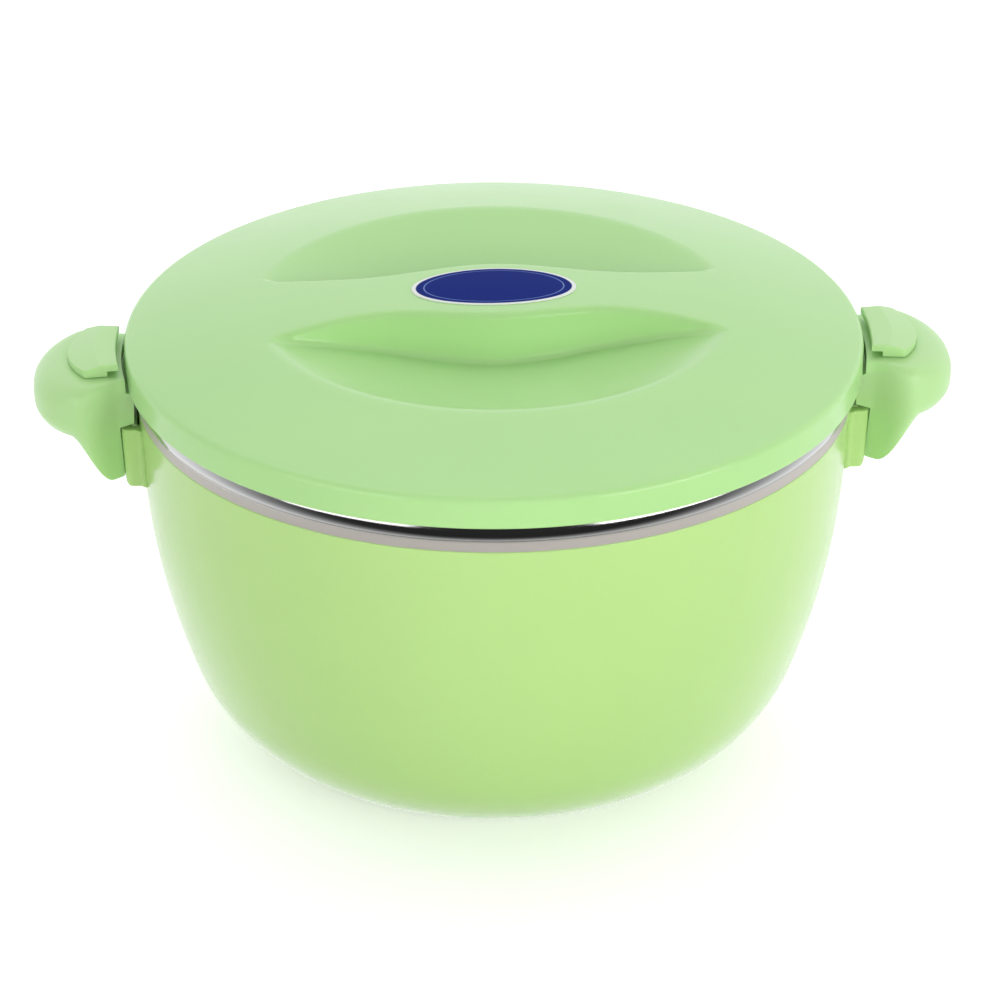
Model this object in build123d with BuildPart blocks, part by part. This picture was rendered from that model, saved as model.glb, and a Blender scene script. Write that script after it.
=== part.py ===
from build123d import *

import os
from math import acos, cos, degrees, radians, sin, sqrt, tan

# Insulated casserole: a plastic outer shell, a stainless inner pot with a rolled rim, rigid foam
# between them, two hollow hood handles that slide down between rails on the shell, and a domed
# lift-off lid with two finger recesses that leave a bridge to hold it by. A thumb latch on top
# of each handle slides inwards to the edge of the lid.
#
# Millimetres. The origin is on the table under the middle of the pot, +Z is up, and the
# handles are on the X axis.

os.makedirs("parts", exist_ok=True)

# ---------------------------------------------------------------- driving dimensions
# clearances
foam_gap = 0.1              # foam to the walls around it
slide_gap = 0.3             # between pieces that slide or lie close on each other
latch_gap = 1.2             # closed latch to the edge of the lid
neck_gap = 0.3              # handle neck to the shell wall and the rails
seal_gap = 0.3              # lid gasket to the rim of the pot
rim_gap = 0.6               # lid skirt to the rolled rim
mouth_gap = 3.7             # dished middle of the lid liner to the mouth of the pot
glue_gap = 0.05             # under the lid label
plug_gap = 0.05             # filler plugs in their holes
hood_lid_gap = 1.2          # back of the hood to the lid on its way up
hood_steel_gap = 0.6        # back of the hood to the rolled rim
skirt_gap = 1.5             # ledge of the hood to the lower edge of the lid
cut_over = 5.0              # how far a cut runs past what it cuts
corner_find = 0.1           # a corner is picked by its place to within this

# outer shell
shell_rim_radius = 131.0
shell_height = 139.5
shell_wall = 2.6
rim_band = 24.5             # straight, slightly leaning band under the rim
rim_lean = 3.2              # degrees from upright
corner_radius = 55.0        # round between the floor and the wall
corner_turn = 70.0          # degrees of the corner before the long wall arc begins
foot_height = 2.5           # the middle of the base stands this far off the table
foot_ring_width = 7.0
tongue_height = 6.5         # upstand inside the steel rim
tongue_wall = 1.3

# inner pot
steel = 0.8
floor_foam = 11.1           # foam under the floor of the pot
pot_corner_radius = 42.0
pot_corner_turn = 74.0
pot_band = 30.0
pot_lean = 2.5
bead_radius = 5.0           # rolled rim
bead_overhang = 1.2         # how far the rolled rim stands out past the shell
bead_rise = 7.5             # middle of the rolled rim above the shell
foam_drop = 1.0             # top of the foam below the shell rim

# lid
lid_wall = 2.2
skirt_overlap = 1.5         # how far the skirt comes down past the top of the rolled rim
skirt_height = 11.3
lid_edge_round = 2.4
dome_rise = 17.6
dish_radius = 87.0          # outer edge of the finger recesses
dish_depth = 19.8           # lowest level of the recesses below the top of the lid
dish_floor_flat = 18.0
dish_floor_sag = 1.6        # how far the floor hollows below a straight cone
bridge_half_middle = 22.5   # half widths of the bridge: at the label, at its necks, at its ends
bridge_half_neck = 16.5
bridge_half_end = 27.5
bridge_neck_x = 40.0
bridge_end_margin = 3.0     # how far the bridge is drawn past the edge of the recesses
bridge_end_slope = 0.35     # how much the bridge spreads at its ends
bridge_draft = 7.0          # degrees
crest_round = 2.5           # upper edges of the bridge
crest_round_inside = 0.5
dish_edge_round = 8.0       # outer edge of the recesses
label_length = 60.0
label_width = 31.0
label_thickness = 0.4

# lid liner, gasket and foam
liner_wall = 1.6
liner_drop = 12.0           # how far its dished middle goes down into the mouth of the pot
liner_round = 2.2
gasket_width = 5.0
gasket_height = 1.7
gasket_round = 0.5
weld_rib_width = 2.0
weld_rib_inset = 1.0        # from the edge of the liner

# rails on the shell
rail_top_drop = 5.6         # below the shell rim
rail_height = 23.0
rail_lip_inner = 11.6       # the lips stand between these two distances from the X axis
rail_lip_outer = 18.3
rail_lip_depth = 3.4
rail_web_inner = 14.3
rail_web_outer = 18.3       # flush with the lips
rail_round = 1.6
rail_root = 2.0             # how far the rails start inside the face of the shell
stop_height = 2.0           # ledge between the rails that the neck stands on

# handles
hood_step = 6.8             # top of the hood below the edge of the lid
hood_depth = 19.9           # from the top of the hood to the lower edge of the grip
hood_projection = 37.5      # from the face of the shell to the nose
hood_arc_radius = 36.0
hood_shoulder_depth = 22.0  # from the nose to the shoulders
hood_shoulder_round = 12.0
hood_neck_half = 12.5
hood_neck_round = 3.0
hood_top_round = 10.0
hood_ceiling_round = 5.5    # inside the hollow, under its top
hood_wall = 2.4
neck_flange = 2.2
grip_arc_radius = 7.0       # side view: hollow curve from the grip down to the neck
grip_length = 14.0          # flat part of the lower edge, from the nose
grip_slope = 72.0           # degrees
neck_foot_radius = 9.0

# latches
latch_inner_gap = 3.0       # open latch to the lid edge
latch_length = 17.5
latch_half_width = 16.4
latch_flare = 1.6           # wider at its outer end
latch_height = 4.5
latch_lip = 2.6             # thickness of the lip along the inner edge
latch_lip_reach = 4.0       # how far the lip stands out from the body of the latch
latch_crown = 6.5           # bow of the outer edge
latch_bevel_length = 9.5
latch_bevel_drop = 2.6
latch_crease_radius = 55.0  # bow of the line where the bevel begins
latch_edge_round = 0.7
latch_corner_round = 1.4
foot_length = 5.5
foot_slack = 2.6            # closed latch: foot to the back wall of the hood
foot_half_width = 5.6
barb_half_width = 8.6
barb_thickness = 2.0

# filler plugs
fill_hole_radius = 11.0
plug_cap_radius = 14.0
plug_cap_thickness = 1.5
plug_stem_length = 5.0
lid_fill_radius = 6.0
lid_cap_radius = 8.5
lid_cap_thickness = 1.2

# ---------------------------------------------------------------- places that follow from them
bead_middle_radius = shell_rim_radius + bead_overhang - bead_radius
mouth_radius = bead_middle_radius - bead_radius
bead_z = shell_height + bead_rise
bead_top_z = bead_z + bead_radius
pot_floor_z = foot_height + shell_wall + floor_foam + steel
skirt_inner_radius = bead_middle_radius + bead_radius + rim_gap
lid_radius = skirt_inner_radius + lid_wall
skirt_bottom_z = bead_top_z - skirt_overlap
lid_edge_z = skirt_bottom_z + skirt_height
lid_top_z = lid_edge_z + dome_rise
dome_radius = (lid_radius**2 + dome_rise**2) / (2 * dome_rise)
dome_centre_z = lid_top_z - dome_radius
dish_floor_z = lid_top_z - dish_depth
bridge_end_x = dish_radius + bridge_end_margin
liner_flange_z = bead_top_z + seal_gap + gasket_height
liner_floor_z = liner_flange_z - liner_drop
liner_plug_radius = mouth_radius - mouth_gap
rail_top_z = shell_height - rail_top_drop
rail_bottom_z = rail_top_z - rail_height
rail_wall_x = shell_rim_radius - rail_top_drop * tan(radians(rim_lean))
rail_root_x = rail_wall_x - rail_root
neck_back_x = rail_wall_x + neck_gap
rail_lip_x = neck_back_x + neck_flange + neck_gap
rail_front_x = rail_lip_x + rail_lip_depth
neck_bottom_z = rail_bottom_z + stop_height
hood_top_z = lid_edge_z - hood_step
hood_rim_z = hood_top_z - hood_depth
hood_reach = shell_rim_radius + hood_projection
hood_shoulder_x = hood_reach - hood_shoulder_depth
grip_arc_x = hood_reach - grip_length
hood_back_radius = lid_radius + hood_lid_gap
steel_keep_radius = bead_middle_radius + bead_radius + hood_steel_gap
cavity_back_x = rail_front_x + neck_gap + hood_wall
latch_inner_radius = lid_radius + latch_inner_gap
latch_bottom_z = hood_top_z + slide_gap
latch_top_z = latch_bottom_z + latch_height
latch_travel = latch_inner_gap - latch_gap
latch_step_radius = latch_inner_radius + latch_lip_reach
foot_inner_x = cavity_back_x + foot_slack + latch_travel
deck_underside_z = hood_top_z - hood_wall
liner_flange_top_z = liner_flange_z + liner_wall
liner_edge_radius = skirt_inner_radius - slide_gap
weld_rib_outer = liner_edge_radius - weld_rib_inset
weld_rib_inner = weld_rib_outer - weld_rib_width


# These functions draw into the BuildLine or BuildSketch that calls them.
def bowl_line(rim_radius, rim_z, floor_z, band, lean, corner, turn):
    """Half section of a bowl from the axis out: flat floor, corner arc, long wall arc, rim band.

    The radius of the wall arc and the width of the floor follow from the other sizes.
    """
    first = radians(turn)
    last = radians(90 - lean)
    rise = rim_z - floor_z - band - corner * (1 - cos(first))
    wall_radius = rise / (cos(first) - cos(last))
    spread = corner * sin(first) + wall_radius * (sin(last) - sin(first))
    floor_radius = rim_radius - band * tan(radians(lean)) - spread
    floor = Line((0, floor_z), (floor_radius, floor_z))
    corner_arc = JernArc(floor @ 1, floor % 1, corner, turn)
    wall_arc = JernArc(corner_arc @ 1, corner_arc % 1, wall_radius, degrees(last - first))
    Line(wall_arc @ 1, (rim_radius, rim_z))
    return floor_radius


def bowl_outline(rim_radius, rim_z, floor_z, band, lean, corner, turn):
    """The bowl line closed along its rim and the axis."""
    floor_radius = bowl_line(rim_radius, rim_z, floor_z, band, lean, corner, turn)
    Polyline((rim_radius, rim_z), (0, rim_z), (0, floor_z))
    return floor_radius


def dome_height(drop, radius):
    """Height of the dome lowered by drop, at a distance from the axis."""
    return dome_centre_z + sqrt((dome_radius - drop) ** 2 - radius**2)


def dome_outline(drop, radius, bottom_z):
    """Half section under the dome lowered by drop, out to radius and down to bottom_z."""
    top_z = dome_height(drop, 0)
    edge_z = dome_height(drop, radius)
    ThreePointArc((0, top_z), (radius / 2, dome_height(drop, radius / 2)), (radius, edge_z))
    Polyline((radius, edge_z), (radius, bottom_z), (0, bottom_z), (0, top_z))


def lid_outline(drop, radius, bottom_z):
    """Half section under the dome with its dished middle, all lowered by drop."""
    floor_z = dish_floor_z - drop
    edge_z = dome_height(drop, dish_radius)
    middle = (dish_floor_flat + dish_radius) / 2
    middle_z = (floor_z + edge_z) / 2 - dish_floor_sag
    ThreePointArc((dish_floor_flat, floor_z), (middle, middle_z), (dish_radius, edge_z))
    halfway = (dish_radius + radius) / 2
    ThreePointArc(
        (dish_radius, edge_z),
        (halfway, dome_height(drop, halfway)),
        (radius, dome_height(drop, radius)),
    )
    Polyline((radius, dome_height(drop, radius)), (radius, bottom_z), (0, bottom_z))
    Polyline((0, bottom_z), (0, floor_z), (dish_floor_flat, floor_z))


def bridge_outline(grow):
    """Plan of the bridge: wide at its ends and at the label, narrow between them."""
    half_middle = bridge_half_middle + grow
    half_neck = bridge_half_neck + grow
    half_end = bridge_half_end + grow
    for side in (1, -1):
        Spline(
            (-bridge_end_x, side * half_end),
            (-bridge_neck_x, side * half_neck),
            (0, side * half_middle),
            (bridge_neck_x, side * half_neck),
            (bridge_end_x, side * half_end),
            tangents=[(1, -side * bridge_end_slope), (1, side * bridge_end_slope)],
        )
    Line((bridge_end_x, half_end), (bridge_end_x, -half_end))
    Line((-bridge_end_x, half_end), (-bridge_end_x, -half_end))


def bridge_solid(drop, crest_round):
    """The bridge with each face moved in by drop, from below the dished floor up to the dome."""
    foot_z = dish_floor_z - drop - lid_wall
    slope = tan(radians(bridge_draft))
    with BuildPart() as bridge:
        with BuildSketch(Plane.XY.offset(foot_z)):
            with BuildLine():
                bridge_outline((lid_top_z - foot_z) * slope - drop)
            make_face()
        with BuildSketch(Plane.XY.offset(lid_top_z + cut_over)):
            with BuildLine():
                bridge_outline(-cut_over * slope - drop)
            make_face()
        loft()
        with BuildSketch(Plane.XZ):
            with BuildLine():
                dome_outline(drop, lid_radius - lid_wall, foot_z - cut_over)
            make_face()
        revolve(axis=Axis.Z, mode=Mode.INTERSECT)
        long_edges = bridge.edges().filter_by(lambda edge: edge.bounding_box().size.X > dish_radius)
        fillet(long_edges.group_by(Axis.Z)[-1], crest_round)
    return bridge.part


# ---------------------------------------------------------------- outer shell
def rail_section():
    """The two rails of one handle in plan: a rounded lip on a web that grows out of the wall."""
    lip_middle = (rail_lip_inner + rail_lip_outer) / 2
    lip_width = rail_lip_outer - rail_lip_inner
    web_middle = (rail_web_inner + rail_web_outer) / 2
    web_width = rail_web_outer - rail_web_inner
    web_depth = rail_lip_x + rail_round - rail_root_x
    for side in (-1, 1):
        with Locations((rail_lip_x + rail_lip_depth / 2, side * lip_middle)):
            RectangleRounded(rail_lip_depth, lip_width, rail_round)
        with Locations((rail_root_x + web_depth / 2, side * web_middle)):
            Rectangle(web_depth, web_width)


lean_dir = (-sin(radians(rim_lean)), 0, -cos(radians(rim_lean)))
rail_run = rail_height / cos(radians(rim_lean))
stop_x = rail_root_x - (rail_height - stop_height) * tan(radians(rim_lean))
stop_depth = rail_lip_x + rail_lip_depth / 2 - rail_root_x

with BuildPart() as outer_shell:
    with BuildSketch(Plane.XZ) as shell_section:
        with BuildLine():
            floor_radius = bowl_outline(
                shell_rim_radius, shell_height, 0, rim_band, rim_lean, corner_radius, corner_turn
            )
        make_face()
        with Locations((shell_rim_radius - shell_wall + tongue_wall / 2, shell_height)):
            Rectangle(tongue_wall, 2 * tongue_height)
        with BuildLine():
            bowl_outline(
                shell_rim_radius - shell_wall,
                shell_height + tongue_height,
                foot_height + shell_wall,
                rim_band + tongue_height,
                rim_lean,
                corner_radius - shell_wall,
                corner_turn,
            )
        make_face(mode=Mode.SUBTRACT)
    revolve(axis=Axis.Z)
    Cylinder(
        floor_radius - foot_ring_width,
        foot_height,
        align=(Align.CENTER, Align.CENTER, Align.MIN),
        mode=Mode.SUBTRACT,
    )
    Cylinder(fill_hole_radius, 2 * (foot_height + shell_wall + cut_over), mode=Mode.SUBTRACT)
    with BuildSketch(Plane.XY.offset(rail_top_z)) as right_rails:
        rail_section()
    extrude(amount=rail_run, dir=lean_dir)
    with BuildSketch(Plane.XY.offset(rail_bottom_z + stop_height)) as right_stop:
        with Locations((stop_x + stop_depth / 2, 0)):
            Rectangle(stop_depth, 2 * rail_web_outer)
    extrude(amount=stop_height, dir=lean_dir)
    mirror(about=Plane.YZ)
outer_shell.part.label = "outer_shell"
export_step(outer_shell.part, "parts/outer_shell.step")

# ---------------------------------------------------------------- base filler plug
plug_top_z = foot_height + plug_stem_length
with BuildPart() as base_plug:
    with BuildSketch(Plane.XY.offset(foot_height - plug_cap_thickness)):
        Circle(plug_cap_radius)
    extrude(amount=plug_cap_thickness)
    with BuildSketch(Plane.XY.offset(foot_height)):
        Circle(fill_hole_radius - plug_gap)
    extrude(amount=plug_stem_length)
base_plug.part.label = "base_plug"
export_step(base_plug.part, "parts/base_plug.step")

# ---------------------------------------------------------------- inner pot with its rolled rim
apron_radius = shell_rim_radius
apron_turn = degrees(acos((apron_radius - bead_middle_radius) / bead_radius))
inside_turn = degrees(acos((apron_radius - steel - bead_middle_radius) / (bead_radius - steel)))
bead_centre = (bead_middle_radius, bead_z)

with BuildPart() as inner_pot:
    with BuildSketch(Plane.XZ) as pot_section:
        with BuildLine():
            bowl_line(
                mouth_radius, bead_z, pot_floor_z, pot_band, pot_lean, pot_corner_radius, pot_corner_turn
            )
            bowl_line(
                mouth_radius + steel,
                bead_z,
                pot_floor_z - steel,
                pot_band,
                pot_lean,
                pot_corner_radius + steel,
                pot_corner_turn,
            )
            Line((0, pot_floor_z), (0, pot_floor_z - steel))
            outside = CenterArc(bead_centre, bead_radius, 180, -180 - apron_turn)
            inside = CenterArc(bead_centre, bead_radius - steel, 180, -180 - inside_turn)
            Polyline(
                outside @ 1, (apron_radius, shell_height), (apron_radius - steel, shell_height), inside @ 1
            )
        make_face()
    revolve(axis=Axis.Z)
inner_pot.part.label = "inner_pot"
export_step(inner_pot.part, "parts/inner_pot.step")

# ---------------------------------------------------------------- foam between shell and pot
with BuildPart() as body_insulation:
    with BuildSketch(Plane.XZ) as foam_section:
        with BuildLine():
            bowl_outline(
                shell_rim_radius - shell_wall - foam_gap,
                shell_height + tongue_height,
                foot_height + shell_wall + foam_gap,
                rim_band + tongue_height,
                rim_lean,
                corner_radius - shell_wall - foam_gap,
                corner_turn,
            )
        make_face()
        with BuildLine():
            bowl_outline(
                mouth_radius + steel + foam_gap,
                bead_z,
                pot_floor_z - steel - foam_gap,
                pot_band,
                pot_lean,
                pot_corner_radius + steel + foam_gap,
                pot_corner_turn,
            )
        make_face(mode=Mode.SUBTRACT)
        with Locations((0, shell_height - foam_drop)):
            Rectangle(
                2 * shell_rim_radius, shell_height, align=(Align.MIN, Align.MIN), mode=Mode.SUBTRACT
            )
    revolve(axis=Axis.Z)
    Cylinder(
        fill_hole_radius,
        plug_top_z + foam_gap,
        align=(Align.CENTER, Align.CENTER, Align.MIN),
        mode=Mode.SUBTRACT,
    )
body_insulation.part.label = "body_insulation"
export_step(body_insulation.part, "parts/body_insulation.step")

# ---------------------------------------------------------------- lid shell
with BuildPart() as lid_space:
    with BuildSketch(Plane.XZ):
        with BuildLine():
            lid_outline(lid_wall, skirt_inner_radius, skirt_bottom_z)
        make_face()
    revolve(axis=Axis.Z)
    add(bridge_solid(lid_wall, crest_round_inside))

with BuildPart() as lid_shell:
    with BuildSketch(Plane.XZ) as lid_section:
        with BuildLine():
            lid_outline(0, lid_radius, skirt_bottom_z)
        make_face()
        rim_corner = lid_section.vertices().group_by(Axis.X)[-1].sort_by(Axis.Y)[-1]
        fillet(rim_corner, lid_edge_round)
        dish_corner = lid_section.vertices().filter_by_position(
            Axis.X, dish_radius - corner_find, dish_radius + corner_find
        )
        fillet(dish_corner, dish_edge_round)
    revolve(axis=Axis.Z)
    add(bridge_solid(0, crest_round))
    add(lid_space.part, mode=Mode.SUBTRACT)
    with BuildSketch(Plane.XY.offset(liner_flange_top_z)) as weld_rib:
        Circle(weld_rib_outer)
        Circle(weld_rib_inner, mode=Mode.SUBTRACT)
    extrude(amount=lid_edge_z - lid_wall / 2 - liner_flange_top_z)
lid_shell.part.label = "lid_shell"
export_step(lid_shell.part, "parts/lid_shell.step")

# ---------------------------------------------------------------- lid liner
with BuildPart() as lid_liner:
    with BuildSketch(Plane.XZ) as liner_section:
        with BuildLine():
            FilletPolyline(
                (0, liner_floor_z),
                (liner_plug_radius, liner_floor_z),
                (liner_plug_radius, liner_flange_z),
                (liner_edge_radius, liner_flange_z),
                radius=liner_round,
            )
            FilletPolyline(
                (0, liner_floor_z + liner_wall),
                (liner_plug_radius - liner_wall, liner_floor_z + liner_wall),
                (liner_plug_radius - liner_wall, liner_flange_top_z),
                (liner_edge_radius, liner_flange_top_z),
                radius=liner_round,
            )
            Line((0, liner_floor_z), (0, liner_floor_z + liner_wall))
            Line((liner_edge_radius, liner_flange_z), (liner_edge_radius, liner_flange_top_z))
        make_face()
    revolve(axis=Axis.Z)
    Cylinder(lid_fill_radius, 2 * (liner_flange_z + cut_over), mode=Mode.SUBTRACT)
lid_liner.part.label = "lid_liner"
export_step(lid_liner.part, "parts/lid_liner.step")

with BuildPart() as lid_plug:
    with BuildSketch(Plane.XY.offset(liner_floor_z - lid_cap_thickness)):
        Circle(lid_cap_radius)
    extrude(amount=lid_cap_thickness)
    with BuildSketch(Plane.XY.offset(liner_floor_z)):
        Circle(lid_fill_radius - plug_gap)
    extrude(amount=liner_wall)
lid_plug.part.label = "lid_plug"
export_step(lid_plug.part, "parts/lid_plug.step")

# ---------------------------------------------------------------- lid foam
with BuildPart() as lid_insulation:
    with BuildSketch(Plane.XZ) as lid_foam_section:
        with BuildLine():
            lid_outline(lid_wall + foam_gap, weld_rib_inner - foam_gap, liner_flange_top_z + foam_gap)
        make_face()
        with Locations((0, liner_floor_z + liner_wall + foam_gap)):
            Rectangle(
                liner_plug_radius - liner_wall - foam_gap - liner_round,
                dish_floor_z - lid_wall - liner_floor_z - liner_wall - 2 * foam_gap,
                align=(Align.MIN, Align.MIN),
            )
    revolve(axis=Axis.Z)
    add(bridge_solid(lid_wall + foam_gap, crest_round_inside))
lid_insulation.part.label = "lid_insulation"
export_step(lid_insulation.part, "parts/lid_insulation.step")

# ---------------------------------------------------------------- lid gasket
with BuildPart() as lid_gasket:
    with BuildSketch(Plane.XZ) as gasket_section:
        with Locations((bead_middle_radius, bead_top_z + seal_gap)):
            Rectangle(
                gasket_width,
                gasket_height,
                align=(Align.CENTER, Align.MIN),
            )
        fillet(gasket_section.vertices().group_by(Axis.Y)[0], gasket_round)
    revolve(axis=Axis.Z)
lid_gasket.part.label = "lid_gasket"
export_step(lid_gasket.part, "parts/lid_gasket.step")

# ---------------------------------------------------------------- lid label
with BuildPart() as lid_label:
    with BuildSketch(Plane.XZ):
        with BuildLine():
            dome_outline(-glue_gap - label_thickness, label_length, lid_edge_z)
        make_face()
        with BuildLine():
            dome_outline(-glue_gap, label_length, lid_edge_z)
        make_face(mode=Mode.SUBTRACT)
    revolve(axis=Axis.Z)
    with BuildSketch(Plane.XY.offset(lid_edge_z)):
        Ellipse(label_length / 2, label_width / 2)
    extrude(amount=2 * dome_rise, mode=Mode.INTERSECT)
lid_label.part.label = "lid_label"
export_step(lid_label.part, "parts/lid_label.step")


# ---------------------------------------------------------------- handles
def hood_outline():
    """Plan of the handle: a narrow neck that flares into a round hood."""
    root_x = shell_rim_radius - neck_flange
    arc_centre_x = hood_reach - hood_arc_radius
    shoulder_y = sqrt(hood_arc_radius**2 - (hood_shoulder_x - arc_centre_x) ** 2)
    ThreePointArc((hood_shoulder_x, -shoulder_y), (hood_reach, 0), (hood_shoulder_x, shoulder_y))
    for side in (-1, 1):
        Polyline(
            (root_x, side * hood_neck_half),
            (hood_back_radius, side * hood_neck_half),
            (hood_shoulder_x, side * shoulder_y),
        )
    Line((root_x, -hood_neck_half), (root_x, hood_neck_half))


def round_hood_corners(plan):
    """Round the shoulders and the inside corners of the neck."""
    fillet(plan.vertices().group_by(Axis.Y)[-1] + plan.vertices().group_by(Axis.Y)[0], hood_shoulder_round)
    neck_corners = plan.vertices().filter_by_position(
        Axis.X, hood_back_radius - corner_find, hood_back_radius + corner_find
    )
    fillet(neck_corners, hood_neck_round)


with BuildPart() as grip_space:
    with BuildSketch(Plane.XY.offset(neck_bottom_z - hood_wall)) as grip_plan:
        with BuildLine():
            hood_outline()
        make_face()
        round_hood_corners(grip_plan)
        offset(amount=-hood_wall)
        with Locations((cavity_back_x, 0)):
            Rectangle(
                hood_reach, 4 * hood_arc_radius, align=(Align.MAX, Align.CENTER), mode=Mode.SUBTRACT
            )
    extrude(amount=deck_underside_z - neck_bottom_z + hood_wall)
    ceiling = grip_space.faces().sort_by(Axis.Z)[-1]
    fillet(ceiling.edges().sort_by(Axis.X)[1:], hood_ceiling_round)

neck_run = (rail_top_z + neck_gap - neck_bottom_z) / cos(radians(rim_lean))
with BuildPart() as handle:
    with BuildSketch(Plane.XY.offset(neck_bottom_z)) as hood_plan:
        with BuildLine():
            hood_outline()
        make_face()
        round_hood_corners(hood_plan)
    extrude(amount=hood_top_z - neck_bottom_z)
    deck = handle.faces().sort_by(Axis.Z)[-1]
    fillet(deck.edges().sort_by(Axis.X)[1:], hood_top_round)
    # side view of the lower edge: flat under the grip, then hollow, then round into the neck
    with BuildSketch(Plane.XZ) as grip_side:
        with BuildLine():
            rim_line = Line((hood_reach + hood_wall, hood_rim_z), (grip_arc_x, hood_rim_z))
            hollow = JernArc(rim_line @ 1, rim_line % 1, grip_arc_radius, grip_slope)
            arc_drops = (grip_arc_radius + neck_foot_radius) * (1 - cos(radians(grip_slope)))
            fall = (hood_rim_z - neck_bottom_z - arc_drops) / sin(radians(grip_slope))
            slope_line = Line(hollow @ 1, hollow @ 1 + (hollow % 1) * fall)
            foot_arc = JernArc(slope_line @ 1, slope_line % 1, neck_foot_radius, -grip_slope)
            below_z = neck_bottom_z - hood_wall
            Polyline(
                foot_arc @ 1,
                ((foot_arc @ 1).X, below_z),
                (hood_reach + hood_wall, below_z),
                (hood_reach + hood_wall, hood_rim_z),
            )
        make_face()
    extrude(amount=hood_arc_radius, both=True, mode=Mode.SUBTRACT)
    # room for the rails
    with BuildSketch(Plane.XY.offset(rail_top_z + neck_gap)):
        with Locations((rail_front_x + neck_gap, 0)):
            Rectangle(hood_reach, 4 * hood_arc_radius, align=(Align.MAX, Align.CENTER))
    extrude(amount=2 * rail_run, dir=lean_dir, mode=Mode.SUBTRACT)
    add(grip_space.part, mode=Mode.SUBTRACT)
    # neck between the rails, with a flange behind their lips
    with BuildSketch(Plane.XY.offset(rail_top_z + neck_gap)) as neck_section:
        with Locations((neck_back_x, 0)):
            Rectangle(
                cavity_back_x - neck_back_x,
                2 * (rail_lip_inner - neck_gap),
                align=(Align.MIN, Align.CENTER),
            )
            Rectangle(neck_flange, 2 * (rail_web_inner - neck_gap), align=(Align.MIN, Align.CENTER))
    extrude(amount=neck_run, dir=lean_dir)
    # room for the steel rim and for the lid on its way up
    with BuildSketch(Plane.XZ) as rim_room:
        with BuildLine():
            Polyline(
                (0, rail_top_z + neck_gap),
                (steel_keep_radius, rail_top_z + neck_gap),
                (steel_keep_radius, skirt_bottom_z - skirt_gap),
                (hood_back_radius, skirt_bottom_z - skirt_gap),
                (hood_back_radius, hood_top_z + cut_over),
                (0, hood_top_z + cut_over),
                close=True,
            )
        make_face()
    revolve(axis=Axis.Z, mode=Mode.SUBTRACT)
    # slot for the foot of the latch
    with BuildSketch(Plane.XY.offset(deck_underside_z - hood_wall)) as latch_slot:
        with Locations((foot_inner_x - latch_travel - slide_gap, 0)):
            Rectangle(
                foot_length + latch_travel + 2 * slide_gap,
                2 * (foot_half_width + slide_gap),
                align=(Align.MIN, Align.CENTER),
            )
    extrude(amount=hood_wall + cut_over, mode=Mode.SUBTRACT)

# ---------------------------------------------------------------- latches
latch_tip_x = latch_inner_radius + latch_length
latch_outer_half = latch_half_width + latch_flare
latch_inner_x = sqrt(latch_inner_radius**2 - latch_half_width**2)
with BuildPart() as latch:
    with BuildSketch(Plane.XY.offset(latch_bottom_z)) as latch_plan:
        with BuildLine():
            inner_edge = ThreePointArc(
                (latch_inner_x, -latch_half_width),
                (latch_inner_radius, 0),
                (latch_inner_x, latch_half_width),
            )
            outer_edge = ThreePointArc(
                (latch_tip_x - latch_crown, -latch_outer_half),
                (latch_tip_x, 0),
                (latch_tip_x - latch_crown, latch_outer_half),
            )
            Line(inner_edge @ 0, outer_edge @ 0)
            Line(inner_edge @ 1, outer_edge @ 1)
        make_face()
        fillet(latch_plan.vertices().group_by(Axis.X)[-1], latch_corner_round)
    extrude(amount=latch_height)
    # outer bevel for the thumb
    crease_x = latch_tip_x - latch_bevel_length
    with BuildSketch(Plane.XZ) as bevel_side:
        with BuildLine():
            Polyline(
                (crease_x, latch_top_z),
                (latch_tip_x, latch_top_z - latch_bevel_drop),
                (latch_tip_x + latch_length, latch_top_z - latch_bevel_drop),
                (latch_tip_x + latch_length, latch_top_z + latch_height),
                (crease_x, latch_top_z + latch_height),
                close=True,
            )
        make_face()
    revolve(axis=Axis((crease_x - latch_crease_radius, 0, 0), (0, 0, 1)), mode=Mode.SUBTRACT)
    fillet(latch.faces().sort_by(Axis.Z)[-1].edges(), latch_edge_round)
    # step under the lip
    with BuildSketch(Plane.XY.offset(latch_bottom_z)):
        Circle(latch_step_radius)
    extrude(amount=latch_height - latch_lip, mode=Mode.SUBTRACT)
    # foot through the slot, with barbs under the deck
    with BuildSketch(Plane.XY.offset(deck_underside_z - slide_gap)) as foot_plan:
        with Locations((foot_inner_x, 0)):
            Rectangle(foot_length, 2 * foot_half_width, align=(Align.MIN, Align.CENTER))
    extrude(amount=latch_bottom_z - deck_underside_z + slide_gap)
    with BuildSketch(Plane.XY.offset(deck_underside_z - slide_gap)) as barb_plan:
        with Locations((foot_inner_x, 0)):
            Rectangle(foot_length, 2 * barb_half_width, align=(Align.MIN, Align.CENTER))
    extrude(amount=-barb_thickness)

# the right handle and latch as made above, the left ones mirrored
for side_name in ("right", "left"):
    for piece, kind in ((handle.part, "handle"), (latch.part, "latch")):
        with BuildPart() as side_piece:
            if side_name == "right":
                add(piece)
            else:
                mirror(piece, about=Plane.YZ)
        side_piece.part.label = f"{kind}_{side_name}"
        export_step(side_piece.part, f"parts/{kind}_{side_name}.step")
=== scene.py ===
# %% [markdown]
# # Dressing an insulated casserole
#
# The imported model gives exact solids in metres, with the table at z = 0, the middle of the pot on
# the Z axis and the handles on the X axis. This lesson puts finer surfaces over the pieces that
# are seen most, gives every piece a worked-out finish, and lights the whole softly.
#
# The frame is loaded before anything else, so that each piece can be set against it.

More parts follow.
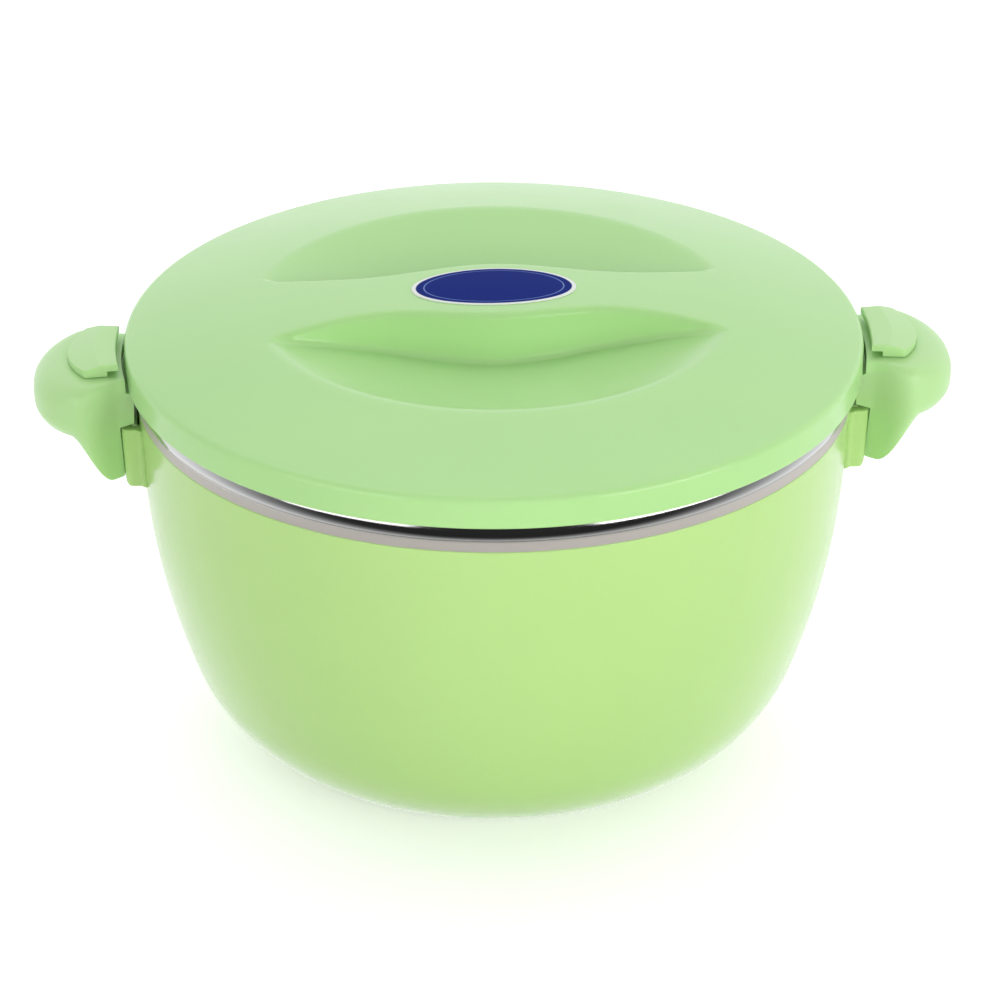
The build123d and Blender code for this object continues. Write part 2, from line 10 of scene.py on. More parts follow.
import bmesh
import bpy
import numpy as np
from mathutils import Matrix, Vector


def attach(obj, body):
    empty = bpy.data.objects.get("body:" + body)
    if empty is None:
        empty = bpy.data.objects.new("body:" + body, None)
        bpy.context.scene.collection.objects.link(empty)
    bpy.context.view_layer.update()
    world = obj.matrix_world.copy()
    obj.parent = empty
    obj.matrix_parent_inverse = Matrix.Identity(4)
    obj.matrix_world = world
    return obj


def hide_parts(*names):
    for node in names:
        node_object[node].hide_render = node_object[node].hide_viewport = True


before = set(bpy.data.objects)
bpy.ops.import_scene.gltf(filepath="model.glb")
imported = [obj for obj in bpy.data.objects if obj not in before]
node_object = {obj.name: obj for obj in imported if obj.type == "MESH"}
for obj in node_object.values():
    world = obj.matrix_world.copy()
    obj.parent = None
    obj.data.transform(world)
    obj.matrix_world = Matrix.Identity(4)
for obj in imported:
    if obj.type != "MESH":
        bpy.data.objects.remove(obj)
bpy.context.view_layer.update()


print("nodes:", sorted(node_object))

# %% [markdown]
# ## Camera
#
# The view is that of a catalogue: from well above the table and far off, with a long lens, so
# that the round lid shows as a calm oval and both handles are seen. The distance and the lens go
# together: moving nearer with a shorter lens would swell the near rim and shrink the base.

# %% Put up the camera
def in_scene(name, data):
    """A new object with its data, in the scene."""
    thing = bpy.data.objects.new(name, data)
    bpy.context.scene.collection.objects.link(thing)
    return thing


camera_place = (-0.0915, -1.5775, 0.914)
camera_turn = (62.51, 0.0, -3.4)
camera_lens = 172.2
sensor_width = 36.0

camera_data = bpy.data.cameras.new("catalogue camera")
camera_data.lens = camera_lens
camera_data.sensor_width = sensor_width
camera_data.clip_end = 20.0
camera = in_scene("catalogue camera", camera_data)
camera.location = camera_place
camera.rotation_euler = np.radians(camera_turn)
bpy.context.scene.camera = camera
print("camera at", camera_place, "looking along", camera_turn, "degrees")

# %% [markdown]
# ## Table and light
#
# Pale plastic and polished steel both live from what they mirror. The room is bright behind the
# object and dark on the viewer's side, and a wide softbox stands low on each side of the viewer.
# The rolled rim mirrors the dark room between the two softboxes, which leaves the dark line that
# makes it read as polished steel. Two fill lamps, one in front and one overhead, even out the light
# on the plastic, because the pot shades each handle from the softbox on the far side. Nothing
# mirrors the two fills, so the dark line stays.
#
# A white table would fill that line, so it is kept out of mirror reflections, as a dark card keeps
# it out in a studio. It glows a little towards the camera alone, which clears it to white and
# leaves a faint shadow. The room is white too where the camera sees it past the table. A sun lamp
# would be simpler, but it draws hard shadows.

# %% Helpers for materials
def srgb(red, green, blue):
    """Colour from 0-255 screen values to the linear values that shaders take.

    Small values are divided by 12.92. The others are raised by 0.055, divided by 1.055 and put
    to the power of 2.4.
    """
    screen = np.array([red, green, blue]) / 255
    linear = np.where(screen <= 0.04045, screen / 12.92, ((screen + 0.055) / 1.055) ** 2.4)
    return (*linear.tolist(), 1.0)


def new_material(name, roughness):
    """A material with its shader and its node tree, ready for a finish."""
    material = bpy.data.materials.new(name)
    material.use_nodes = True
    shader = material.node_tree.nodes["Principled BSDF"]
    shader.inputs["Roughness"].default_value = roughness
    return material, shader, material.node_tree


def feed(tree, node, name, value):
    """Links a node's input to another node's socket, or sets it where the value is a plain one."""
    socket = node.inputs[name]
    if isinstance(value, bpy.types.NodeSocket):
        tree.links.new(value, socket)
    else:
        socket.default_value = value


def link_in(tree, kind, values=None, **inputs):
    """Adds a node with its settings and feeds its inputs."""
    node = tree.nodes.new(kind)
    for name, value in (values or {}).items():
        setattr(node, name, value)
    for name, value in inputs.items():
        feed(tree, node, name.replace("_", " "), value)
    return node


def arithmetic(tree, operation, first, second):
    """Result of a maths node on two sockets or numbers."""
    node = link_in(tree, "ShaderNodeMath", {"operation": operation})
    feed(tree, node, 0, first)
    feed(tree, node, 1, second)
    return node.outputs["Value"]


def ranged(tree, value, **limits):
    """A value moved from one range to another in proportion, and held inside the new one."""
    return link_in(tree, "ShaderNodeMapRange", Value=value, **limits).outputs["Result"]


# %% Table
table_half = 6.0
table_mesh = bpy.data.meshes.new("white table")
table_corners = [
    (-table_half, -table_half, 0), (table_half, -table_half, 0),
    (table_half, table_half, 0), (-table_half, table_half, 0),
]
table_mesh.from_pydata(table_corners, [], [(0, 1, 2, 3)])
table = in_scene("white table", table_mesh)
table.visible_glossy = False
table_finish, table_shader, table_tree = new_material("white laminate table", 0.6)
table_shader.inputs["Base Color"].default_value = srgb(250, 250, 250)
table_shader.inputs["Specular IOR Level"].default_value = 0.2
table_shader.inputs["Emission Color"].default_value = (1.0, 1.0, 1.0, 1.0)
seen_straight = link_in(table_tree, "ShaderNodeLightPath").outputs["Is Camera Ray"]
glow = ranged(table_tree, seen_straight, To_Min=0.0, To_Max=0.4)
feed(table_tree, table_shader, "Emission Strength", glow)
table_mesh.materials.append(table_finish)
print("table is", 2 * table_half, "m wide")

# %% Room and softboxes
room = bpy.data.worlds.new("pale room")
room.use_nodes = True
bpy.context.scene.world = room
room_tree = room.node_tree
room_shader = room_tree.nodes["Background"]
direction = link_in(room_tree, "ShaderNodeTexCoord").outputs["Generated"]
towards_back = link_in(room_tree, "ShaderNodeSeparateXYZ", Vector=direction).outputs["Y"]
brightness = link_in(
    room_tree, "ShaderNodeMapRange", {"interpolation_type": "SMOOTHSTEP"},
    Value=towards_back, From_Min=-0.65, From_Max=0.7, To_Min=0.03, To_Max=1.25,
)
white_backdrop = link_in(room_tree, "ShaderNodeLightPath").outputs["Is Camera Ray"]
room_strength = arithmetic(room_tree, "MAXIMUM", brightness.outputs["Result"], white_backdrop)
feed(room_tree, room_shader, "Strength", room_strength)
room_shader.inputs["Color"].default_value = (0.97, 0.985, 1.0, 1.0)


def softbox(name, place, aim, width, height, watts):
    """A flat lamp at a place, turned to face what it lights."""
    lamp = bpy.data.lights.new(name, "AREA")
    lamp.shape = "RECTANGLE"
    lamp.size, lamp.size_y, lamp.energy = width, height, watts
    lamp_object = in_scene(name, lamp)
    lamp_object.location = place
    lamp_object.rotation_euler = (Vector(aim) - Vector(place)).to_track_quat("-Z", "Y").to_euler()
    print(name, place, watts, "W")
    return lamp_object


object_middle = (0.0, 0.0, 0.09)
softbox("left softbox", (-1.19, -1.11, 0.5), object_middle, 1.2, 0.6, 5.0)
softbox("right softbox", (1.19, -1.11, 0.5), object_middle, 1.2, 0.6, 7.8)
for soft_fill in (
    softbox("front fill", (0.3, -1.9, 0.8), object_middle, 1.6, 0.8, 15.7),
    softbox("overhead fill", (0.0, 0.5, 1.4), object_middle, 1.2, 1.2, 2.4),
):
    soft_fill.visible_glossy = False
bpy.context.scene.view_settings.view_transform = "Standard"

# %% [markdown]
# ## Grids, paths and turned shapes
#
# Nearly everything on a casserole is turned on an axis or carried along a line. So one helper makes
# a mesh of a grid of points, one rounds the corners of a path, and one swings a path round the Z
# axis. The points are worked out as whole arrays. Sizes are written in millimetres, as on a
# workshop drawing, and become metres in the mesh.

# %% Grid to mesh
MM = 0.001


def grid_corners(rows, columns, join_rows, join_columns):
    """Row, column and point number of the four corners of each face between neighbours."""
    row, column = np.meshgrid(
        np.arange(rows if join_rows else rows - 1),
        np.arange(columns if join_columns else columns - 1),
        indexing="ij",
    )
    corner_row = np.stack([row, row, row + 1, row + 1], axis=-1).reshape(-1, 4)
    corner_column = np.stack([column, column + 1, column + 1, column], axis=-1).reshape(-1, 4)
    return corner_row, corner_column, (corner_row % rows) * columns + corner_column % columns


def surface(name, points, join_rows=False, join_columns=False):
    """Mesh from a grid of points in millimetres, one face between each four neighbours.

    The UV map runs with the columns across and with the measured length of the middle column up.
    Points that fall together, as at a pole, are merged, and all faces are turned outwards.
    """
    rows, columns = points.shape[:2]
    corner_row, corner_column, faces = grid_corners(rows, columns, join_rows, join_columns)
    mesh = bpy.data.meshes.new(name)
    mesh.from_pydata((points.reshape(-1, 3) * MM).tolist(), [], faces.tolist())
    middle = points[:, columns // 2]
    steps = np.linalg.norm(np.diff(np.vstack([middle, middle[:1]]), axis=0), axis=1)
    length_up = np.concatenate([[0], np.cumsum(steps)]) * MM
    uv = np.stack([corner_column / columns, length_up[corner_row]], axis=-1)
    mesh.uv_layers.new(name="UVMap").data.foreach_set("uv", uv.ravel())
    return finished(name, mesh)


def closed_up(mesh, merge=1e-6):
    """Merges points nearer than merge, turns the faces outwards and counts the open edges."""
    work = bmesh.new()
    work.from_mesh(mesh)
    bmesh.ops.remove_doubles(work, verts=work.verts, dist=merge)
    bmesh.ops.recalc_face_normals(work, faces=work.faces)
    open_edges = sum(1 for edge in work.edges if not edge.is_manifold)
    work.to_mesh(mesh)
    work.free()
    mesh.shade_smooth()
    return open_edges


def finished(name, mesh):
    """Closes up a mesh, puts it in the scene as an object and prints its size."""
    open_edges = closed_up(mesh)
    piece = in_scene(name, mesh)
    triangles = sum(len(face.vertices) - 2 for face in mesh.polygons)
    print(f"{name}: {triangles} triangles, {open_edges} open edges")
    return piece


# %% Rounded paths
def rounded_path(corners, steps=7, support=0.3):
    """A closed path of straight runs whose corners are arcs. corners holds (across, up, radius).

    An arc starts and ends on its two runs, the radius divided by the tangent of half the inner
    angle away from the corner. Its middle lies on the line that halves the angle, the radius
    divided by the sine of that half away. A support point on each side keeps the shading of the
    flat runs flat. Points that fall together are dropped.
    """
    corner = np.array(corners, float)
    place, radius = corner[:, :2], corner[:, 2]
    back = np.roll(place, 1, axis=0) - place
    ahead = np.roll(place, -1, axis=0) - place
    back /= np.linalg.norm(back, axis=1, keepdims=True)
    ahead /= np.linalg.norm(ahead, axis=1, keepdims=True)
    half = np.arccos(np.clip((back * ahead).sum(axis=1), -1, 1)) / 2
    reach = (radius / np.tan(half))[:, None]
    halving = back + ahead
    halving /= np.maximum(np.linalg.norm(halving, axis=1, keepdims=True), 1e-9)
    middle = place + halving * (radius / np.sin(half))[:, None]
    start, end = place + back * reach, place + ahead * reach
    first = np.arctan2(*(start - middle).T[::-1])
    last = np.arctan2(*(end - middle).T[::-1])
    turn = (last - first + np.pi) % (2 * np.pi) - np.pi
    angle = first[:, None] + turn[:, None] * np.linspace(0, 1, steps)
    direction = np.stack([np.cos(angle), np.sin(angle)], axis=-1)
    arc = middle[:, None] + radius[:, None, None] * direction
    beside = support * (radius > 0)[:, None]
    before, after = (start + back * beside)[:, None], (end + ahead * beside)[:, None]
    path = np.concatenate([before, arc, after], axis=1).reshape(-1, 2)
    gaps = np.linalg.norm(path - np.roll(path, 1, axis=0), axis=1)
    return path[gaps > 1e-6]


def plain(points):
    """Points of a curve as corners with no rounding."""
    return [(across, up, 0.0) for across, up in points]


def turned(name, path, columns, closed=True):
    """A path of (radius, height) swung round the Z axis, closed where its end joins its start.

    A point goes to radius times cosine, radius times sine, and its own height.
    """
    angle = np.linspace(0, 2 * np.pi, columns, endpoint=False)
    across, up = path[:, :1], np.broadcast_to(path[:, 1:], (len(path), columns))
    points = np.stack([across * np.cos(angle), across * np.sin(angle), up], axis=-1)
    return surface(name, points, join_rows=closed, join_columns=True)


def joined(name, pieces):
    """Several meshes made one object, so that they can stand for one node."""
    with bpy.context.temp_override(active_object=pieces[0], selected_editable_objects=pieces):
        bpy.ops.object.join()
    pieces[0].name = name
    return pieces[0]


# %% [markdown]
# ## Finishes
#
# The shell, the lid and the handles are injection-moulded polypropylene. Close up such plastic
# isn't one flat green: the colour drifts a little where the melt flowed, the gloss changes in
# soft patches, the skin has a fine orange peel, and now and then a dark grain is locked in it. Each
# of those is one noise in the material. The shell's batch is a touch yellower than the lid's.
# The handles' green is a lighter copy of that green: painted light, making up for the shade that
# the pot and the hood throw on the handles and latches.

# %% Helpers for finishes
def new_finish(name, roughness):
    """A new material, and the Object coordinates that place the patterns on it."""
    material, shader, tree = new_material(name, roughness)
    return material, shader, tree, link_in(tree, "ShaderNodeTexCoord").outputs["Object"]


def noise(tree, place, scale, detail):
    """Noise about 0.5, in patches a metre divided by the scale wide, with finer ones laid over."""
    texture = link_in(tree, "ShaderNodeTexNoise", Vector=place, Scale=scale, Detail=detail)
    return texture.outputs["Fac"]


def mixed(tree, part, first, second):
    """Colour that goes from the first to the second as part goes from 0 to 1."""
    return link_in(tree, "ShaderNodeMixRGB", Fac=part, Color1=first, Color2=second).outputs["Color"]


def rough_skin(tree, shader, height, strength, distance):
    """Bumps the shader's surface by a height, up to a distance in metres."""
    bump = link_in(tree, "ShaderNodeBump", Height=height, Strength=strength, Distance=distance)
    feed(tree, shader, "Normal", bump.outputs["Normal"])


# %% Moulded plastic
def moulded_plastic(name, colour, deep_colour, gloss=(0.17, 0.25), peel=0.03):
    """Green polypropylene: slow drift of colour, patchy gloss, orange peel and rare dark grains."""
    material, shader, tree, place = new_finish(name, gloss[0])
    drift = ranged(tree, noise(tree, place, 7.0, 3.0), From_Min=0.3, From_Max=0.7)
    green = mixed(tree, drift, colour, deep_colour)
    grain = link_in(tree, "ShaderNodeTexVoronoi", Vector=place, Scale=26.0)
    small = ranged(
        tree, grain.outputs["Distance"], From_Min=0.006, From_Max=0.011, To_Min=1.0, To_Max=0.0
    )
    cell = link_in(tree, "ShaderNodeSeparateColor", Color=grain.outputs["Color"])
    rare = arithmetic(tree, "GREATER_THAN", cell.outputs["Red"], 0.72)
    shown = arithmetic(tree, "MULTIPLY", small, rare)
    feed(tree, shader, "Base Color", mixed(tree, shown, green, srgb(92, 104, 48)))
    patches = ranged(
        tree, noise(tree, place, 45.0, 2.0), From_Min=0.3, From_Max=0.7,
        To_Min=gloss[0], To_Max=gloss[1],
    )
    feed(tree, shader, "Roughness", patches)
    rough_skin(tree, shader, noise(tree, place, 620.0, 2.0), peel, 0.0006)
    shader.inputs["IOR"].default_value = 1.49
    shader.inputs["Subsurface Weight"].default_value = 0.08
    shader.inputs["Subsurface Radius"].default_value = (0.6, 1.0, 0.4)
    shader.inputs["Subsurface Scale"].default_value = 0.003
    return material


shell_green = moulded_plastic("shell green polypropylene", srgb(188, 225, 144), srgb(184, 222, 139))
lid_green = moulded_plastic("lid green polypropylene", srgb(181, 227, 152), srgb(176, 223, 147))
# A lighter copy of the green, as painted light against the shade on the handles and latches.
handle_green_painted_light = moulded_plastic(
    "handle green polypropylene, lightened as painted light", srgb(189, 230, 160), srgb(185, 227, 155), gloss=(0.29, 0.38)
)
print("green finishes:", [finish.name for finish in (shell_green, lid_green, handle_green_painted_light)])

# %% [markdown]
# ## Steel
#
# The inner pot is spun from stainless sheet. Inside, it keeps the fine rings that the polishing
# belt left as it turned, and its rolled rim is buffed bright above a satin band. The rings follow
# the turning, so they are a noise drawn out round the pot and fine up its profile. The UV map
# carries both directions. The change from buffed to satin is a ramp over the height.
# The satin band is also given a light warm grey and little metal. That is a painted reflection of
# the bright table, which the band cannot mirror because the table is kept out of reflections.

# %% Spun steel
def distance_in_plan(tree, place, scale_x=1.0, scale_y=1.0):
    """Distance from the Z axis, after x and y are multiplied by their scales."""
    flat = link_in(tree, "ShaderNodeMapping", Vector=place, Scale=(scale_x, scale_y, 0.0))
    length = link_in(
        tree, "ShaderNodeVectorMath", {"operation": "LENGTH"}, Vector=flat.outputs["Vector"]
    )
    return length.outputs["Value"]


def spun_steel(name, satin_below, buffed_above, apron_from, apron_whole):
    """Stainless steel: rings from the belt in the roughness and the bump, buffed above one height.

    The satin band is where a point is further out than the apron's radii and below the buffed
    height. There the colour is a light warm grey and the steel mostly not metallic: a painted
    reflection of the bright table. All four are in metres.
    """
    material, shader, tree = new_material(name, 0.2)
    shader.inputs["Anisotropic"].default_value = 0.35
    coordinates = link_in(tree, "ShaderNodeTexCoord").outputs
    place = coordinates["Object"]
    rings = link_in(tree, "ShaderNodeMapping", Vector=coordinates["UV"], Scale=(6.0, 5200.0, 1.0))
    belt = noise(tree, rings.outputs["Vector"], 1.0, 3.0)
    tint = mixed(tree, noise(tree, place, 30.0, 3.0), srgb(204, 203, 201), srgb(190, 190, 190))
    height = link_in(tree, "ShaderNodeSeparateXYZ", Vector=place).outputs["Z"]
    outside = ranged(tree, distance_in_plan(tree, place), From_Min=apron_from, From_Max=apron_whole)
    above = ranged(tree, height, From_Min=satin_below, From_Max=buffed_above)
    satin_and_painted_reflection = arithmetic(tree, "MULTIPLY", outside, arithmetic(tree, "SUBTRACT", 1.0, above))
    # The band's light warm grey and low metal are a painted reflection of the bright table; its
    # roughness is the real satin.
    feed(tree, shader, "Base Color", mixed(tree, satin_and_painted_reflection, tint, srgb(200, 194, 187)))
    feed(tree, shader, "Metallic", ranged(tree, satin_and_painted_reflection, To_Min=1.0, To_Max=0.3))
    buffed = ranged(tree, above, To_Min=0.44, To_Max=0.12)
    streaks = ranged(tree, belt, From_Min=0.3, From_Max=0.7, To_Min=0.8, To_Max=1.25)
    feed(tree, shader, "Roughness", arithmetic(tree, "MULTIPLY", buffed, streaks))
    rough_skin(tree, shader, belt, 0.05, 0.0002)
    return material


satin_top, buffed_from = 0.1431, 0.1440
apron_from, apron_whole = 0.1268, 0.1290
pot_steel = spun_steel("spun stainless steel", satin_top, buffed_from, apron_from, apron_whole)
print("pot is finished in", pot_steel.name)

# %% [markdown]
# ## Outer shell
#
# The bowl is one moulding with a wall of 2.6 mm. Its profile goes from a flat base through a round
# corner into one long, nearly straight curve and a short leaning band at the rim. Turning that
# closed profile gives the wall its thickness straight away, with no Solidify needed, and the
# rounding of each edge is set at its corner.

# %% Bowl profile
rim_radius, rim_z = 131.0, 139.5
shell_wall = 2.6
tongue_height, tongue_wall = 6.5, 1.3
foot_ring_width, foot_height = 7.0, 2.5
fill_hole_radius = 11.0
band, lean = 24.5, 3.2
corner_radius, corner_turn = 55.0, 70.0
corner_steps, wall_steps, band_steps = 30, 44, 9
round_columns = 288


def bowl_profile(rim_radius, rim_z, floor_z, band, lean, corner, turn):
    """Radius and height of a bowl's wall from the edge of its floor to its rim.

    First the corner arc: corner times sine out, corner times one minus cosine up. Then the wall
    arc, whose radius makes it end at the band, turned to the lean. Last a straight run to the rim.
    """
    first, last = np.radians(turn), np.radians(90 - lean)
    corner_out, corner_up = corner * np.sin(first), corner * (1 - np.cos(first))
    wall_radius = (rim_z - floor_z - band - corner_up) / (np.cos(first) - np.cos(last))
    spread = corner_out + wall_radius * (np.sin(last) - np.sin(first))
    band_out = band * np.tan(np.radians(lean))
    low = np.linspace(0, first, corner_steps)
    high = np.linspace(first, last, wall_steps)[1:]
    part = np.linspace(0, 1, band_steps)[1:]
    out = np.concatenate([
        corner * np.sin(low),
        corner_out + wall_radius * (np.sin(high) - np.sin(first)),
        spread + part * band_out,
    ])
    up = np.concatenate([
        floor_z + corner * (1 - np.cos(low)),
        floor_z + corner_up + wall_radius * (np.cos(first) - np.cos(high)),
        rim_z - band + part * band,
    ])
    return np.stack([out + rim_radius - band_out - spread, up], axis=-1)


shell_outside = bowl_profile(rim_radius, rim_z, 0.0, band, lean, corner_radius, corner_turn)
shell_inside = bowl_profile(
    rim_radius - shell_wall, rim_z + tongue_height, foot_height + shell_wall,
    band + tongue_height, lean, corner_radius - shell_wall, corner_turn,
)
foot_inner = shell_outside[0, 0] - foot_ring_width
shell_path = rounded_path(
    [(fill_hole_radius, foot_height + shell_wall, 0.5)]
    + plain(shell_inside[:-1])
    + [
        (rim_radius - shell_wall, rim_z + tongue_height, 0.35),
        (rim_radius - shell_wall + tongue_wall, rim_z + tongue_height, 0.35),
        (rim_radius - shell_wall + tongue_wall, rim_z, 0.0),
        (rim_radius, rim_z, 0.7),
    ]
    + plain(shell_outside[-2::-1])
    + [(foot_inner, 0.0, 0.9), (foot_inner, foot_height, 0.7), (fill_hole_radius, foot_height, 0.4)]
)
bowl = turned("bowl", shell_path, round_columns)
print("shell is", round(shell_path[:, 0].max(), 2), "mm in radius at its widest")

# %% [markdown]
# On each side two upright rails hold the neck of the handle. Each has a rounded lip on a web that
# grows out of the wall with a small fillet. A rail is one outline carried down along the lean of
# the wall: its points move in near the top and the bottom, which rounds both ends.

# %% Rails
lean_slope = np.tan(np.radians(lean))
rail_top_drop, rail_height = 5.6, 23.0
rail_top_z = rim_z - rail_top_drop
rail_wall_x = rim_radius - rail_top_drop * lean_slope
rail_web_depth, rail_lip_depth = 2.8, 3.4
rail_lip_x = rail_wall_x + rail_web_depth
rail_front_x = rail_lip_x + rail_lip_depth
rail_lip_inner, rail_web_inner, rail_outer = 11.6, 14.3, 18.3
root_depth = 2.0
rail_root_x = rail_wall_x - root_depth
fillet_spread, fillet_rise, fillet_sink = 1.2, 0.9, 0.1
rail_edge_round, rail_toe_round = 0.6, 2.3
stop_height, stop_lift, stop_inset, stop_edge_round = 2.0, 0.2, 0.8, 0.5
stop_half = rail_outer - stop_inset
stop_front_x = rail_lip_x + rail_lip_depth / 2


def carried_down(name, outline, top_z, height, edge, toe_round, toe_x):
    """An outline of (x, y) carried down along the lean of the wall, with rounded ends.

    Near each end the outline moves in along its own normals by the edge radius minus the root of
    its square less the square of the way into the rounding. The toe cuts the front corner with a
    quarter circle. The ends are closed with one face each.
    """
    rounding = np.linspace(0, np.pi / 2, 6)
    near_end = edge * (1 - np.sin(rounding))
    inset_end = edge * (1 - np.cos(rounding))
    body = np.linspace(edge, height - edge, 26)[1:-1]
    down = np.concatenate([near_end[::-1], body, height - near_end])
    inset = np.concatenate([inset_end[::-1], np.zeros(len(body)), inset_end])
    along = np.roll(outline, -1, axis=0) - np.roll(outline, 1, axis=0)
    along /= np.linalg.norm(along, axis=1, keepdims=True)
    outward = np.stack([along[:, 1], -along[:, 0]], axis=-1)
    out, over = outline.T
    area = (out * np.roll(over, -1) - np.roll(out, -1) * over).sum()
    moved = outline[None] - np.sign(area) * outward[None] * inset[:, None, None]
    depth = np.clip(toe_round - (height - down), 0, toe_round)
    limit = toe_x - (toe_round - np.sqrt(toe_round**2 - depth**2))
    x = np.minimum(moved[..., 0], limit[:, None]) - down[:, None] * lean_slope
    z = np.broadcast_to((top_z - down)[:, None], x.shape)
    points = np.stack([x, moved[..., 1], z], axis=-1)
    rows, columns = x.shape
    sides = grid_corners(rows, columns, False, True)[-1]
    caps = [list(range(columns)), list(range((rows - 1) * columns, rows * columns))]
    mesh = bpy.data.meshes.new(name)
    mesh.from_pydata((points.reshape(-1, 3) * MM).tolist(), [], sides.tolist() + caps)
    mesh.uv_layers.new(name="UVMap")
    return finished(name, mesh)


rail_outline = rounded_path(
    [
        (rail_root_x, rail_web_inner - fillet_spread, 0.0),
        (rail_wall_x - fillet_sink, rail_web_inner - fillet_spread, 0.0),
        (rail_wall_x + fillet_rise, rail_web_inner, 0.8),
        (rail_lip_x, rail_web_inner, 0.4),
        (rail_lip_x, rail_lip_inner, 1.0),
        (rail_front_x, rail_lip_inner, 1.4),
        (rail_front_x, rail_outer, 2.6),
        (rail_wall_x + fillet_rise, rail_outer, 0.8),
        (rail_wall_x - fillet_sink, rail_outer + fillet_spread, 0.0),
        (rail_root_x, rail_outer + fillet_spread, 0.0),
    ],
    steps=6, support=0.15,
)
stop_outline = rounded_path(
    [
        (rail_root_x, -stop_half, 0.0), (stop_front_x, -stop_half, 0.5),
        (stop_front_x, stop_half, 0.5), (rail_root_x, stop_half, 0.0),
    ],
    steps=4, support=0.15,
)


def to_side(piece, side):
    """Mirrors a right-hand piece to the left when side is -1, and keeps its faces outward."""
    if side < 0:
        piece.data.transform(((-1, 0, 0, 0), (0, 1, 0, 0), (0, 0, 1, 0), (0, 0, 0, 1)))
        piece.data.flip_normals()
    return piece


shell_pieces = [bowl]
stop_drop = rail_height - stop_height
stop_place = stop_outline - np.array([stop_drop * lean_slope, 0.0])
for side in (1, -1):
    for across in (1, -1):
        rail = carried_down(
            "rail", rail_outline * (1, across), rail_top_z, rail_height,
            rail_edge_round, rail_toe_round, rail_front_x,
        )
        shell_pieces.append(to_side(rail, side))
    stop = carried_down(
        "stop", stop_place, rail_top_z - stop_drop, stop_height - stop_lift,
        stop_edge_round, stop_edge_round, stop_front_x,
    )
    shell_pieces.append(to_side(stop, side))
shell = joined("shell_with_rails", shell_pieces)
shell.data.materials.append(shell_green)
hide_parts("outer_shell")
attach(shell, "pot")

# %% [markdown]
# ## Steel pot
#
# The pot is a single sheet, 0.8 mm thick: down the inside, over the rolled rim and down again in a
# short apron that covers the edge of the shell. The closed profile is turned as the bowl's was.

# %% Pot profile
steel = 0.8
bead_radius, bead_middle_radius, bead_z = 5.0, 127.2, 147.0
pot_floor_z, pot_band, pot_lean = 17.0, 30.0, 2.5
pot_corner, pot_corner_turn = 42.0, 74.0
floor_rings, seat_gap = (0.0, 8.0, 40.0), 0.05
mouth_radius = bead_middle_radius - bead_radius

pot_inside = bowl_profile(
    mouth_radius, bead_z, pot_floor_z, pot_band, pot_lean, pot_corner, pot_corner_turn
)
pot_outside = bowl_profile(
    mouth_radius + steel, bead_z, pot_floor_z - steel, pot_band, pot_lean, pot_corner + steel,
    pot_corner_turn,
)
apron_turn = -np.arccos((rim_radius - bead_middle_radius) / bead_radius)
inside_turn = -np.arccos((rim_radius - steel - bead_middle_radius) / (bead_radius - steel))


def rim_arc(radius, first, last, steps=44):
    """Part of the rolled rim's circle: its middle plus the radius times cosine and sine."""
    angle = np.linspace(first, last, steps)
    out, up = bead_middle_radius + radius * np.cos(angle), bead_z + radius * np.sin(angle)
    return np.stack([out, up], axis=-1)


pot_path = rounded_path(
    plain((ring, pot_floor_z) for ring in floor_rings)
    + plain(pot_inside[:-1])
    + plain(rim_arc(bead_radius, np.pi, apron_turn))
    + [(rim_radius, rim_z + seat_gap, 0.2), (rim_radius - steel, rim_z + seat_gap, 0.2)]
    + plain(rim_arc(bead_radius - steel, inside_turn, np.pi))
    + plain(pot_outside[-2::-1])
    + plain((ring, pot_floor_z - steel) for ring in floor_rings[::-1])
)
pot = turned("spun_pot", pot_path, round_columns)
pot.data.materials.append(pot_steel)
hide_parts("inner_pot")
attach(pot, "pot")

# %% [markdown]
# ## Lid
#
# The lid is a shallow dome with a dished middle. A bridge is left standing across the dish, so that
# fingers and thumb can hold it from both sides. No turned profile makes that, and a cut with a
# modifier would leave hard seams where the real tool has soft ones. So the height is worked out:
# three distances, to the dome, to the dished floor and to the leaning wall of the bridge, are
# joined with rounded blends, and the height is where the blend crosses zero.

# %% Heights of the lid
lid_radius, lid_top_z, dome_rise = 135.0, 179.4, 17.6
dome_radius = (lid_radius**2 + dome_rise**2) / (2 * dome_rise)
dome_centre_z = lid_top_z - dome_radius
dish_radius, dish_depth, dish_flat, dish_sag = 87.0, 19.8, 18.0, 1.6
draft = np.tan(np.radians(7.0))
bridge_x = np.array([-90.0, -40.0, 0.0, 40.0, 90.0])
bridge_half = np.array([27.5, 16.5, 22.5, 16.5, 27.5])
bridge_end_slope = 0.35


def dome_height(radius, drop=0.0):
    """Height of the dome at a distance from the axis: its centre plus the root of its radius
    squared less that distance squared."""
    return dome_centre_z + np.sqrt((dome_radius - drop) ** 2 - radius**2)


def circle_through(first, middle, last):
    """Centre and radius of the circle through three points.

    The centre is as far from the middle point as from each end: twice the centre along the step
    between two points is the difference of their squares.
    """
    points = np.array([first, middle, last])
    squares = (points**2).sum(axis=1)
    centre = np.linalg.solve(2 * np.diff(points, axis=0), np.diff(squares))
    return centre, np.hypot(*(centre - first))


dish_floor_z = lid_top_z - dish_depth
dish_edge_z = dome_height(dish_radius)
dish_middle = ((dish_flat + dish_radius) / 2, (dish_floor_z + dish_edge_z) / 2 - dish_sag)
dish_start, dish_end = (dish_flat, dish_floor_z), (dish_radius, dish_edge_z)
dish_centre, dish_arc = circle_through(dish_start, dish_middle, dish_end)


